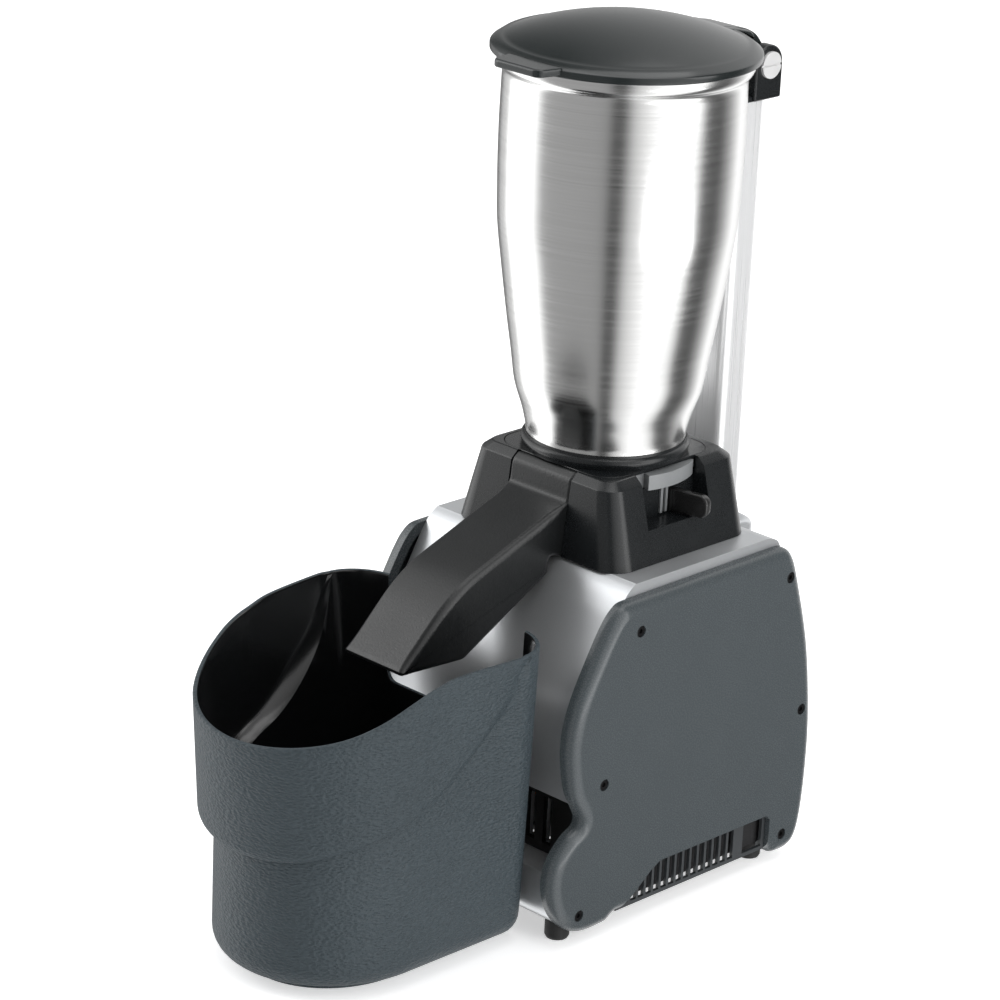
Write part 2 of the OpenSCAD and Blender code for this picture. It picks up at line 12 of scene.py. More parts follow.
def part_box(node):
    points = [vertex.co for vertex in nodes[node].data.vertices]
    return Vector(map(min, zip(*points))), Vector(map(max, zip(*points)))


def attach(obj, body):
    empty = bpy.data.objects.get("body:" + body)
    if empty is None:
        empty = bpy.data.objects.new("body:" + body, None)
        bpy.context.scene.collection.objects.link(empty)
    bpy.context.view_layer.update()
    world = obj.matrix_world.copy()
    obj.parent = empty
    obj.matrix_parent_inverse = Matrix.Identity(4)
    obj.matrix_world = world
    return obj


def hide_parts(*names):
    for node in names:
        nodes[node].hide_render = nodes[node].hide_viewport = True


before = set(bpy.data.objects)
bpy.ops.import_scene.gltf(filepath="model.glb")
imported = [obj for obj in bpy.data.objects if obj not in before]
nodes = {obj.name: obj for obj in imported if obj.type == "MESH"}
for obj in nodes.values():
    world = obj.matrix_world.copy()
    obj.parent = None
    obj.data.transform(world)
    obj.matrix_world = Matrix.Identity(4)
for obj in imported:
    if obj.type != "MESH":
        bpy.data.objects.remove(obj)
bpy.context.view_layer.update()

# ---- Camera, floor and studio light ----
# The machine stands on a pale sweep. It is seen from its front right and a little above,
# through a long lens, between two tall softboxes and under a wide overhead one. A low card beside
# it lights the foot of the right cover.
stand_at = Vector((1.2674, -1.3071, 0.8974))
swing, above, tilt = (math.radians(a) for a in (44.317, 20.445, 2.5))
ahead = Vector((-math.sin(swing) * math.cos(above), math.cos(swing) * math.cos(above), -math.sin(above)))
level = Vector((math.cos(swing), math.sin(swing), 0))
upright = level.cross(ahead)
side = level * math.cos(tilt) + upright * math.sin(tilt)
top = upright * math.cos(tilt) - level * math.sin(tilt)
lens = bpy.data.cameras.new("camera")
lens.sensor_width = 36
lens.lens = 135.52
lens.shift_x = 0.0178
lens.shift_y = 0.007
camera = bpy.data.objects.new("camera", lens)
camera.matrix_world = Matrix.Translation(stand_at) @ Matrix((side, top, -ahead)).transposed().to_4x4()
bpy.context.scene.collection.objects.link(camera)
bpy.context.scene.camera = camera
bpy.context.scene.view_settings.view_transform = "Standard"


class Wire:
    """A shader socket that can be reckoned with: sums and products of wires add Math nodes."""

    def __init__(self, tree, socket):
        self.tree = tree
        self.socket = socket

    def node(self, kind, settings, values, out=0):
        """Adds a node from its type, its settings and the values or wires of its sockets."""
        made = self.tree.nodes.new("ShaderNode" + kind)
        for key, value in settings.items():
            if key == "stops":
                ramp = made.color_ramp.elements
                ramp.remove(ramp[1])
                ramp[0].position = value[0][0]
                ramp[0].color = (*value[0][1], 1)
                for place, colour in value[1:]:
                    ramp.new(place).color = (*colour, 1)
            else:
                setattr(made, key, value)
        for key, value in values.items():
            if isinstance(value, Wire):
                self.tree.links.new(value.socket, made.inputs[key])
            else:
                made.inputs[key].default_value = value
        return Wire(self.tree, made.outputs[out])

    def math(self, operation, *values):
        return self.node("Math", {"operation": operation}, dict(enumerate(values)))

    def __add__(self, other):
        return self.math("ADD", self, other)

    def __mul__(self, other):
        return self.math("MULTIPLY", self, other)

    def __sub__(self, other):
        return self.math("SUBTRACT", self, other)

    def __rsub__(self, other):
        return self.math("SUBTRACT", other, self)

    def __pow__(self, other):
        return self.math("POWER", self, other)

    __radd__ = __add__
    __rmul__ = __mul__


world = bpy.data.worlds.new("studio")
world.use_nodes = True
bpy.context.scene.world = world
sky_shader = world.node_tree.nodes["Background"]
sky = Wire(world.node_tree, sky_shader.outputs[0])
heading = sky.node("TexCoord", {}, {}, 0)
spots = world.node_tree.nodes.new("ShaderNodeSeparateXYZ")
world.node_tree.links.new(heading.socket, spots.inputs[0])
east = Wire(world.node_tree, spots.outputs[0])
north = Wire(world.node_tree, spots.outputs[1])
turn = east.math("ARCTAN2", north, east) * (1 / (2 * math.pi)) + 0.5
band_stops = [(0.0, 1.9), (0.12, 1.9), (0.15, 0.45), (0.33, 0.4), (0.35, 0.06), (0.374, 0.06), (0.4, 0.8),
              (0.5, 1.7), (0.57, 1.3), (0.6, 0.08), (0.66, 0.1), (0.7, 0.5), (0.76, 1.5), (0.87, 0.6),
              (0.92, 0.08), (0.96, 0.7)]
bands = turn.node("ValToRGB", {"stops": [(p, (v, v, v)) for p, v in band_stops]}, {"Fac": turn})
plain = sky.node("LightPath", {}, {}, 0)
backdrop = bands.node("Mix", {"data_type": "RGBA"}, {0: plain, 6: bands, 7: (1, 1, 1, 1)}, 2)
world.node_tree.links.new(backdrop.socket, sky_shader.inputs["Color"])
sky_shader.inputs["Strength"].default_value = 1.0


def softbox(name, place, aim, wide, high, power):
    """A rectangular lamp at place, turned to face aim."""
    lamp = bpy.data.lights.new(name, "AREA")
    lamp.shape = "RECTANGLE"
    lamp.size = wide
    lamp.size_y = high
    lamp.energy = power
    made = bpy.data.objects.new(name, lamp)
    made.location = place
    made.rotation_euler = (Vector(aim) - Vector(place)).to_track_quat("-Z", "Y").to_euler()
    bpy.context.scene.collection.objects.link(made)


softbox("left_softbox", (-1.5, -1.1, 0.9), (0, 0, 0.2), 0.7, 1.5, 9)
softbox("right_softbox", (1.7, 0.7, 0.8), (0, 0, 0.25), 0.8, 1.5, 8)
softbox("low_card", (0.75, 0.1, 0.06), (0.08, 0.0, 0.04), 0.7, 0.12, 0.9)
softbox("overhead_softbox", (0.1, 0.2, 1.9), (0, 0, 0.2), 1.6, 1.2, 11)


class Finish:
    """A material with its own Principled shader, whose even values are set straight on its sockets."""

    def __init__(self, name, colour, roughness, metallic=0.0, **others):
        self.material = bpy.data.materials.new(name)
        self.material.use_nodes = True
        self.tree = self.material.node_tree
        self.shader = self.tree.nodes["Principled BSDF"]
        self.shader.inputs["Base Color"].default_value = (*colour, 1)
        self.shader.inputs["Roughness"].default_value = roughness
        self.shader.inputs["Metallic"].default_value = metallic
        for key, value in others.items():
            self.shader.inputs[key.replace("_", " ")].default_value = value
        self.place = Wire(self.tree, self.shader.outputs[0]).node("TexCoord", {}, {}, 3)

    def stretched(self, scale):
        """Object coordinates, stretched along each axis."""
        return self.place.node("Mapping", {}, {"Vector": self.place, "Scale": scale})

    def noise(self, scale, detail=3.0, place=None):
        place = place or self.place
        return place.node("TexNoise", {}, {"Vector": place, "Scale": scale, "Detail": detail})

    def feed(self, socket, wire):
        self.tree.links.new(wire.socket, self.shader.inputs[socket])

    def tint(self, low, high, mask):
        """Base Color runs from low to high as the mask goes from 0 to 1."""
        mix = mask.node("Mix", {"data_type": "RGBA"}, {0: mask, 6: (*low, 1), 7: (*high, 1)}, 2)
        self.feed("Base Color", mix)

    def relief(self, height, depth):
        """Bump of that depth in metres, from a height of 0 to 1."""
        bump = height.node("Bump", {}, {"Height": height, "Strength": 1.0, "Distance": depth})
        self.feed("Normal", bump)


def moulded(name, colour, roughness, grain, depth, wear=1.0, **others):
    """Moulded plastic with a fine spark-eroded grain: small noise as relief, and slow wear in the gloss."""
    made = Finish(name, colour, roughness, **others)
    fine = made.noise(grain, 2.0)
    slow = made.noise(25.0, 4.0)
    made.relief(fine, depth)
    made.feed("Roughness", slow * (0.14 * wear) + fine * 0.1 + (roughness - 0.05 - 0.07 * wear))
    dark = tuple(c * 0.82 for c in colour)
    light = tuple(min(1.0, c * 1.15) for c in colour)
    made.tint(dark, light, slow * (0.6 * wear) + fine * 0.4 + 0.3 * (1 - wear))
    return made


floor_finish = Finish("pale_floor", (0.93, 0.93, 0.935), 0.6, Emission_Color=(1, 1, 1, 1),
                      Emission_Strength=0.5)
floor_finish.tint((0.92, 0.92, 0.925), (0.94, 0.94, 0.945), floor_finish.noise(3.0))
floor_half = 6.0
floor_mesh = bpy.data.meshes.new("floor")
floor_mesh.from_pydata([(x, y, 0) for x, y in ((-1, -1), (1, -1), (1, 1), (-1, 1))], [], [(0, 1, 2, 3)])
floor_mesh.transform(Matrix.Scale(floor_half, 4))
floor_mesh.materials.append(floor_finish.material)
floor = bpy.data.objects.new("floor", floor_mesh)
bpy.context.scene.collection.objects.link(floor)
floor.visible_glossy = False

# ---- Ice bin ----
# One thin moulding of grained blue-grey polymer, glossy inside, where its colour is darkened to nearly black
# as painted shade. Its lower part is narrower, and a swelling starts at a crease that climbs from the front
# to the back.
# It stands loose on a set-back plinth, under the spout, with a notch in its back wall.
hopper_low, hopper_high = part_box("hopper")
axis_y = (hopper_low.y + hopper_high.y) / 2
MM = 0.001


def through(points, steps):
    """A smooth curve through given points: each stretch is the cubic that leaves and
    reaches its ends along the line between their neighbours."""
    p = np.asarray(points, float)
    count = len(p) - 1
    i = np.repeat(np.arange(count), steps)
    t = np.tile(np.arange(steps) / steps, count)[:, None]

    def at(k):
        return p[np.clip(k, 0, len(p) - 1)]

    a, b, c, d = at(i - 1), at(i), at(i + 1), at(i + 2)
    curve = 0.5 * (2 * b + (c - a) * t + (2 * a - 5 * b + 4 * c - d) * t**2 + (3 * b - a - 3 * c + d) * t**3)
    return np.vstack([curve, p[-1:]])


def arc(centre, radius, start, stop, steps):
    """Points on a circle about centre, from angle start to angle stop, in degrees."""
    a = np.radians(np.linspace(start, stop, steps))
    return np.stack([centre[0] + radius * np.cos(a), centre[1] + radius * np.sin(a)], -1)


def finish_mesh(mesh, crease_angle):
    """Shades smooth, except across edges sharper than the crease angle in degrees."""
    mesh.polygons.foreach_set("use_smooth", np.ones(len(mesh.polygons), bool))
    mesh.set_sharp_from_angle(angle=math.radians(crease_angle))
    mesh.update()


def skin(name, grid, wrap_i=False, ends=True, inner_rows=None, crease_angle=32):
    """A closed surface from grid[i, j] = (x, y, z) in millimetres about the hopper's axis.
    Neighbouring grid points are joined into quads, each row closes on itself, and the first and
    last rows are filled in, or joined to each other if wrap_i is set.
    Faces in inner_rows take the second material."""
    rows, columns = grid.shape[:2]
    index = np.arange(rows * columns).reshape(rows, columns)
    index = np.hstack([index, index[:, :1]])
    if wrap_i:
        index = np.vstack([index, index[:1]])
    quads = np.stack([index[:-1, :-1], index[1:, :-1], index[1:, 1:], index[:-1, 1:]], -1)
    faces = quads.reshape(-1, 4).tolist()
    kinds = np.zeros(quads.shape[:2], int)
    if inner_rows:
        kinds[inner_rows[0]:inner_rows[1]] = 1
    kinds = kinds.ravel().tolist()
    if ends and not wrap_i:
        faces += [index[0, :columns].tolist()[::-1], index[-1, :columns].tolist()]
        kinds += [0, 1 if inner_rows else 0]
    mesh = bpy.data.meshes.new(name)
    mesh.from_pydata((grid.reshape(-1, 3) * MM + (0, axis_y, 0)).tolist(), [], faces)
    mesh.polygons.foreach_set("material_index", kinds)
    work = bmesh.new()
    work.from_mesh(mesh)
    bmesh.ops.remove_doubles(work, verts=work.verts, dist=1e-5)
    bmesh.ops.dissolve_degenerate(work, edges=work.edges, dist=1e-6)
    bmesh.ops.recalc_face_normals(work, faces=work.faces)
    work.to_mesh(mesh)
    work.free()
    finish_mesh(mesh, crease_angle)
    made = bpy.data.objects.new(name, mesh)
    bpy.context.scene.collection.objects.link(made)
    return made


def dress(piece, body, finishes, replaced=()):
    """Gives a piece its materials, its body and the plain parts that it stands for."""
    for finish in finishes:
        piece.data.materials.append(finish.material)
    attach(piece, body)
    if replaced:
        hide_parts(*replaced)


def bin_plan(half_width, corner, wide, deep, centre_y, rear_y):
    """Plan of a wall, from the middle of the straight back round one side to the middle of the front:
    straight back, round corner, straight side, then a quarter of an ellipse."""
    back = np.stack([np.linspace(0, half_width - corner, 24), np.full(24, rear_y)], -1)
    turned = arc((half_width - corner, rear_y - corner), corner, 90, 0, 40)[1:]
    a = np.radians(90 * np.linspace(0, 1, 70))
    front = np.stack([wide * np.cos(a), centre_y - deep * np.sin(a)], -1)
    flank = np.linspace(turned[-1], front[0], 20)[1:-1]
    half = np.vstack([back, turned, flank, front])
    return np.vstack([half, (half * (-1, 1))[-2:0:-1]])


def drawn_in(outline, amount):
    """The closed outline moved inwards, square to the line between each point's neighbours."""
    chord = np.roll(outline, -1, 0) - np.roll(outline, 1, 0)
    chord = chord / np.maximum(np.linalg.norm(chord, axis=1, keepdims=True), 1e-9)
    x, y = outline.T
    area = np.sum(x * np.roll(y, -1) - np.roll(x, -1) * y)
    inward = np.stack([-chord[:, 1], chord[:, 0]], -1) * np.sign(area)
    return outline + inward * np.reshape(amount, (-1, 1))


bin_wall = 2.6
bin_rear = -104.5
bin_front = -263.5
upper_plan = bin_plan(75.8, 30.0, 70.5, -190 - bin_front, -190, bin_rear)
lower_plan = bin_plan(61.0, 14.0, 60.0, 66.0, -186, bin_rear)
rim_line = through([(-95, 172.5), (-165, 172.5), (-186, 169.6), (-202, 164.5), (-218, 157), (-234, 150),
                    (-250, 144.8), (-275, 138)], 6)[::-1]
crease_line = through([(-95, 200), (-112, 186), (-125, 172.5), (-132, 164), (-146, 141), (-164, 121),
                       (-181, 106), (-195, 98.5), (-205, 94.5), (-224, 88), (-240, 83), (-252, 78.5),
                       (-275, 74)], 6)[::-1]
full_rim = np.interp(upper_plan[:, 1], *rim_line.T)
crease_z = np.interp(upper_plan[:, 1], *crease_line.T)
# The notch: a low sill across the back, rising at its sides with rounded corners.
notch_half, notch_sill, notch_corner = 50.0, 113.0, 8.0
from_side = np.clip((np.abs(upper_plan[:, 0]) - (notch_half - notch_corner)) / notch_corner, 0, 1)
at_back = upper_plan[:, 1] > bin_rear - notch_corner
sill_z = notch_sill + notch_corner * (1 - np.sqrt(1 - from_side**2))
sill_z = np.where(from_side >= 1, full_rim, sill_z)
rim_z = np.where(at_back, np.minimum(full_rim, sill_z), full_rim)

floor_z, floor_round = 5.0, 13.0
half_wall = bin_wall / 2
wall_top = rim_z - half_wall
# The lower wall opens out towards the back, where the crease runs out into the rim.
splay_from, splay_over = -195.0, 80.0
into = np.clip((upper_plan[:, 1] - splay_from) / splay_over, 0, 1)
splay = into**2 * (3 - 2 * into)
splay_low, splay_high = 10.0, 172.0
draft = 3.5


def lower_at(z):
    """Plan of the lower wall at height z."""
    share = splay * np.clip((z - splay_low) / (splay_high - splay_low), 0, 1)
    return lower_plan + (upper_plan - lower_plan) * share[:, None]


def upper_at(z):
    """Plan of the upper wall at height z: drawn in at the crease and full at the rim."""
    climbed = np.clip((z - crease_z) / np.maximum(full_rim - crease_z, 1), 0, 1)
    return drawn_in(upper_plan, draft * (1 - climbed))


crease_plan = lower_at(np.minimum(crease_z, wall_top))
shoulder = np.minimum(6.0, np.linalg.norm(upper_at(crease_z) - crease_plan, axis=1))
swollen = np.clip((wall_top - crease_z) / np.maximum(shoulder, 0.5), 0, 1)[:, None]


def wall_rows(lift):
    """The wall from its crease to its rim: a rounded step outwards, then the straight upper part."""
    made = []
    for turned in np.linspace(0, math.pi / 2, 14)[1:]:
        z = crease_z + lift + shoulder * (1 - math.cos(turned))
        made.append((crease_plan + (upper_at(z) - crease_plan) * math.sin(turned) * swollen, z))
    for share in np.linspace(0, 1, 10)[1:]:
        z = crease_z + lift + shoulder
        z = z + share * (np.maximum(wall_top, z) - z)
        made.append((crease_plan + (upper_at(z) - crease_plan) * swollen, z))
    return made


rows = []
for turned in np.linspace(0, math.pi / 2, 9):
    plan = drawn_in(lower_plan, floor_round * (1 - math.sin(turned)))
    rows.append((plan, floor_z + floor_round * (1 - math.cos(turned))))
wall_foot = floor_z + floor_round
for share in np.linspace(0, 1, 14)[1:]:
    z = np.minimum(wall_foot + share * (crease_z - wall_foot), wall_top)
    rows.append((lower_at(z), z))
rows += wall_rows(0)
# Over the wall's rounded lip.
lip_plan = rows[-1][0]
outer_rows = len(rows)
for turned in np.linspace(0, math.pi, 9):
    plan = drawn_in(lip_plan, half_wall * (1 - math.cos(turned)))
    rows.append((plan, wall_top + half_wall * math.sin(turned)))
lip_rows = len(rows)
rows += [(drawn_in(plan, bin_wall), z) for plan, z in wall_rows(bin_wall)[-2::-1]]
for share in np.linspace(1, 0, 14):
    z = np.minimum(wall_foot + share * (crease_z + bin_wall - wall_foot), wall_top)
    rows.append((drawn_in(lower_at(np.minimum(z, crease_z)), bin_wall), z))
floor_top, inner_round = floor_z + 3, floor_round - 3
for turned in np.linspace(math.pi / 2, 0, 9)[1:]:
    plan = drawn_in(lower_plan, bin_wall + inner_round * (1 - math.sin(turned)))
    rows.append((plan, floor_top + inner_round * (1 - math.cos(turned))))
capped = [(plan, np.minimum(z, wall_top) if k < outer_rows or k >= lip_rows else z)
          for k, (plan, z) in enumerate(rows)]
bin_grid = np.stack([np.column_stack([plan, np.broadcast_to(z, len(plan))]) for plan, z in capped])
ice_bin = skin("ice_bin_shell", bin_grid, inner_rows=(outer_rows + 6, len(rows) - 1), crease_angle=40)

plinth_plan = bin_plan(45.0, 8.0, 44.0, 50.0, -186, bin_rear - 16)
plinth = skin("bin_plinth", np.stack([np.insert(plinth_plan, 2, z, axis=1) for z in (0.6, floor_z + 1)]))

bin_colour = (0.036, 0.048, 0.056)
grained = Finish("grained_polymer", bin_colour, 0.5, Specular_IOR_Level=0.35)
wrinkle_place = grained.stretched((1.0, 1.0, 2.1))
wander = wrinkle_place.node("TexNoise", {}, {"Vector": wrinkle_place, "Scale": 260.0, "Detail": 2.0}, 1)
wrinkle_at = wander.node("VectorMath", {"operation": "MULTIPLY_ADD"},
                         {0: wander, 1: (0.0016, 0.0016, 0.0016), 2: wrinkle_place})
cells = wrinkle_at.node("TexVoronoi", {"feature": "SMOOTH_F1"},
                        {"Vector": wrinkle_at, "Scale": 430.0, "Smoothness": 0.6})
pores = grained.noise(1500.0, 2.0)
leather = cells * 0.75 + pores * 0.25
grained.relief(leather, 0.0011)
grained.feed("Roughness", leather * 0.16 + grained.noise(18.0) * 0.12 + 0.36)
grained.tint((0.02, 0.0295, 0.0355), (0.048, 0.065, 0.075), grained.noise(14.0, 3.0) * 0.5 + leather * 0.5)
# The inner faces are smooth and glossy, and their colour is darkened to nearly black as painted shade inside
# the bin.
inside_painted_shade = moulded("gloss_painted_shade_inside", (0.006, 0.0065, 0.007), 0.2, 700.0, 0.00002)
dress(ice_bin, "bin", [grained, inside_painted_shade], ["ice_bin"])
dress(plinth, "bin", [grained])

# ---- Side covers ----
# Two satin charcoal mouldings with large soft edges, each held to the body by six recessed
# screws, with an arch over the vent grille. The left one also holds the switch.
cover_curve = np.vstack([
    through([(-69.5, 181.2), (-66.5, 183.6), (-61, 184.5), (-40, 184.8), (0, 185.1), (40, 185.4), (56, 185.6),
             (62, 184.8), (66.2, 181), (71.5, 169),
             (84, 127), (90.5, 84), (91.3, 50), (89, 22), (84.5, 9), (77, 4.6), (66, 4.6)], 12),
    [(61, 9.5), (-61, 9.5)],
    through([(-66, 5.6), (-84, 5.6), (-96, 11), (-106, 23), (-110.6, 38), (-108, 52), (-98, 63), (-90.5, 67),
             (-88.5, 71), (-91, 77), (-97.5, 90), (-101, 112), (-99, 128), (-93.5, 143), (-81, 166),
             (-73.5, 177.5), (-69.5, 181.2)], 12)[:-1],
])


def even(outline, spacing, soften=0):
    """The closed outline again, with points at an even spacing, each then averaged with its neighbours."""
    closed = np.vstack([outline, outline[:1]])
    walked = np.concatenate([[0], np.cumsum(np.linalg.norm(np.diff(closed, axis=0), axis=1))])
    at = np.linspace(0, walked[-1], max(8, int(walked[-1] / spacing)), endpoint=False)
    made = np.stack([np.interp(at, walked, closed[:, k]) for k in (0, 1)], -1)
    for _ in range(soften):
        made = 0.25 * np.roll(made, 1, 0) + 0.5 * made + 0.25 * np.roll(made, -1, 0)
    return made


def reach_in(outline, most):
    """How far each point may be drawn in: most, or less where the outline turns in a tighter circle."""
    before = outline - np.roll(outline, 4, 0)
    after = np.roll(outline, -4, 0) - outline
    cross = before[:, 0] * after[:, 1] - before[:, 1] * after[:, 0]
    x, y = outline.T
    area = np.sum(x * np.roll(y, -1) - np.roll(x, -1) * y)
    bend = np.arctan2(cross * np.sign(area), np.sum(before * after, 1))
    length = np.linalg.norm(after, axis=1)
    limit = np.where(bend > 0.02, 0.8 * length / np.maximum(bend, 0.02), most)
    limit = np.minimum(limit, most)
    for _ in range(30):
        limit = np.minimum(limit, 0.25 * np.roll(limit, 1) + 0.5 * limit + 0.25 * np.roll(limit, -1) + 0.01)
    return limit


def slab(name, outline, low, high, low_edge=(0, 0), high_edge=(0, 0), axis=0, steps=8, crease_angle=32):
    """An outline carried along an axis, from low to high. Near an end it is drawn in along a quarter
    of an ellipse, given as (how far in, how far along)."""
    rows = []
    for end, sign, edge in ((low, 1, low_edge), (high, -1, high_edge)):
        some = np.max(edge[0]) > 0
        reach = reach_in(outline, np.max(edge[0])) if some else np.zeros(len(outline))
        reach = np.minimum(reach, edge[0])
        made = []
        for turned in np.linspace(0, math.pi / 2, steps) if some else [math.pi / 2]:
            plan = drawn_in(outline, reach * (1 - math.sin(turned)))
            share = (reach / np.maximum(np.max(edge[0]), 1e-6)) ** 0.5
            along = end + sign * edge[1] * (1 - math.cos(turned)) * share
            along = np.broadcast_to(along, len(plan)) if some else np.full(len(plan), float(end))
            made.append(np.insert(plan, axis, along, axis=1))
        rows += made if sign > 0 else made[::-1]
    return skin(name, np.stack(rows), crease_angle=crease_angle)


def carve(piece, cutters, edge=0.0, edge_angle=40, crease_angle=32):
    """Cuts the cutters out of a piece, breaks the sharp edges and keeps the result as plain faces."""
    for cutter in cutters:
        cut = piece.modifiers.new("cut", "BOOLEAN")
        cut.operation = "DIFFERENCE"
        cut.solver = "MANIFOLD"
        cut.object = cutter
    if edge:
        broken = piece.modifiers.new("edge", "BEVEL")
        broken.width = edge * MM
        broken.segments = 2
        broken.limit_method = "ANGLE"
        broken.angle_limit = math.radians(edge_angle)
    graph = bpy.context.evaluated_depsgraph_get()
    mesh = bpy.data.meshes.new_from_object(piece.evaluated_get(graph))
    piece.modifiers.clear()
    mesh.materials.clear()
    mesh.polygons.foreach_set("material_index", np.zeros(len(mesh.polygons), int))
    piece.data = mesh
    for cutter in cutters:
        bpy.data.objects.remove(cutter)
    finish_mesh(mesh, crease_angle)
    flatten(piece)


def flatten(piece):
    """Lets the large flat faces rule the shading, so they stay flat beside rounded edges."""
    weighted = piece.modifiers.new("flat_shading", "WEIGHTED_NORMAL")
    weighted.keep_sharp = True


def box(name, x0, x1, y0, y1, z0, z1):
    """A plain block, used as a cutter."""
    return slab(name, np.array([(y0, z0), (y1, z0), (y1, z1), (y0, z1)], float), x0, x1)


def rod(name, radius, low, high, centre, axis, count=48):
    """A plain round bar along an axis, used as a cutter."""
    return slab(name, arc(centre, radius, 0, 360, count + 1)[:-1], low, high, axis=axis)


body_x = 73.0
cover_x = 82.0
vent_arch = np.array([(-59, -2), (-59, 9), (-35, 27.5), (-28, 31), (57, 31), (60, 28), (60, -2)], float)
screw_spots = [(-54, 168.5), (63, 169), (80, 88), (-75.5, 88.5), (71, 16), (-89.5, 18)]
satin_grey = moulded("satin_charcoal", (0.055, 0.065, 0.07), 0.27, 1500.0, 0.000006, 0.15,
                     Specular_IOR_Level=0.45)
cover_outline = even(cover_curve, 1.6, 2)
cover_wall = 3.0
cover_rim = 6.5
screw_bore, screw_depth = 3.2, 2.2
for hand, name in ((1, "right_cover"), (-1, "left_cover")):
    low, high = sorted((hand * body_x, hand * cover_x))
    soft = (7.5, 6.5)
    edges = {"high_edge": soft} if hand > 0 else {"low_edge": soft}
    cover = slab(name + "_shell", cover_outline, low, high, steps=10, **edges)
    # The hollow behind, the arch, and the counterbores.
    hollow = sorted((hand * (body_x - 1), hand * (cover_x - cover_wall)))
    cutters = [slab("hollow", drawn_in(cover_outline, cover_rim), *hollow)]
    cutters.append(slab("arch", vent_arch, *sorted((hand * (body_x - 2), hand * (cover_x + 2)))))
    bores = sorted((hand * (cover_x - screw_depth), hand * (cover_x + 2)))
    cutters += [rod("bore", screw_bore, *bores, spot, 0) for spot in screw_spots]
    if hand < 0:
        cutters.append(box("switch_hole", -cover_x - 1, -cover_x + 4, 33, 57, 133, 167))
    carve(cover, cutters, edge=0.45, edge_angle=50)
    dress(cover, "frame", [satin_grey], [name])

# ---- Painted shade behind the vents ----
# A near-black sheet lies behind each grille, held by the grille's own frame: painted shade that closes the
# view through the body.
# Near-black colour for the sheets: painted shade behind the vent slots.
vent_painted_shade = moulded("painted_shade_sheet", (0.008, 0.008, 0.009), 0.8, 1800.0, 0.0003)
shade_sheet_side = np.array([(-58, 12.6), (-34, 30), (-29, 33.4), (58, 33.4), (60.5, 30), (60.5, 12.6)], float)
shade_sheet_side = even(shade_sheet_side, 2.0, 1)
for hand, name in ((1, "right_screen"), (-1, "left_screen")):
    shade_sheet = slab(name, shade_sheet_side, *sorted((hand * (body_x + 0.6), hand * (body_x + 1.8))))
    dress(shade_sheet, "frame", [vent_painted_shade])

# ---- Motor body ----
# A cast body in silver metallic paint, bent over the motor like a hood and open at its sides,
# which the covers close. A boss at its back clamps the hopper's column.
front_face = through([(-96, 12), (-101, 17), (-102, 27), (-99, 39.2)], 6)
bow = through([(-86, 75.9), (-89.5, 90), (-91, 112), (-89, 128), (-83, 143), (-69.5, 166), (-62.5, 178),
               (-56, 187), (-50, 191)], 10)
back_face = through([(52, 191), (59, 189), (63, 184), (70, 169), (82, 127), (88, 84), (88.8, 50), (86.5, 22),
                     (82, 12)], 10)
hood_out = np.vstack([front_face, [(-78, 39.2), (-78, 75.9)], bow, back_face])
hood_wall = 3.0
along_hood = np.roll(hood_out, -1, 0) - np.roll(hood_out, 1, 0)
along_hood[0] = hood_out[1] - hood_out[0]
along_hood[-1] = hood_out[-1] - hood_out[-2]
along_hood /= np.linalg.norm(along_hood, axis=1, keepdims=True)
hood_in = hood_out + hood_wall * np.stack([along_hood[:, 1], -along_hood[:, 0]], -1)
# The top wall is thicker, so that the covers end below its edge.
ceiling_z = 182.5
hood_in[:, 1] = np.minimum(hood_in[:, 1], ceiling_z)
hood = slab("body_hood", np.vstack([hood_out, hood_in[::-1]]), -body_x, body_x, crease_angle=24)
column_hole = box("column_hole", -18, 18, 71, 92, 118, 200)
shaft_hole = rod("shaft_hole", 15.2, 180, 195, (0, 0), 2)
gland_hole = rod("gland_hole", 8.2, 78, 100, (0, 42), 1)
intakes = [box("intake", x - 3, x + 3, -80, -70, 44, 71) for x in range(-48, 49, 12)]
carve(hood, [column_hole, shaft_hole, gland_hole, *intakes], crease_angle=24)
silver = Finish("silver_paint", (0.56, 0.575, 0.59), 0.36, 0.72, Coat_Weight=0.25, Coat_Roughness=0.25)
flake = silver.noise(2600.0, 1.0)
silver.relief(flake, 0.00002)
silver.feed("Roughness", silver.noise(12.0, 4.0) * 0.1 + flake * 0.12 + 0.26)
silver.tint((0.5, 0.515, 0.53), (0.63, 0.645, 0.66), flake * 0.7 + silver.noise(9.0) * 0.3)
dress(hood, "frame", [silver], ["body_shell"])


def rounded_plan(half, y0, y1, corner, steps=10):
    """A rectangle's plan with round corners, anticlockwise."""
    spots = [((half - corner, y0 + corner), -90), ((half - corner, y1 - corner), 0),
             ((-half + corner, y1 - corner), 90), ((-half + corner, y0 + corner), 180)]
    return np.vstack([arc(c, corner, a, a + 90, steps) for c, a in spots])


def stack(name, levels, crease_angle=32):
    """A body whose plan at each level is a rounded rectangle: (z, half width, y front, y back, corner)."""
    plans = [np.insert(rounded_plan(*level[1:]), 2, level[0], axis=1) for level in levels]
    return skin(name, np.stack(plans), crease_angle=crease_angle)


boss_levels = [(86, 28, 55, 86, 8), (96, 29.5, 55, 87.5, 9), (110, 30, 55, 94.4, 9), (114, 30, 55, 95, 9),
               (176, 30, 55, 95, 9)]
boss_levels += [(176.5 + 4 * math.sin(a), 30 - 4 * (1 - math.cos(a)), 55, 95 - 4 * (1 - math.cos(a)), 9)
                for a in np.linspace(0, math.pi / 2, 7)]
boss = stack("column_boss", boss_levels)
seat = stack("seat", [(z, 18.05, 70.95, 92.05, 5) for z in (118, 200)])
dowels = [rod("screw_hole", 2.6, 88, 97, (0, z), 1) for z in (130, 160)]
carve(boss, [seat, *dowels])
dress(boss, "frame", [silver])

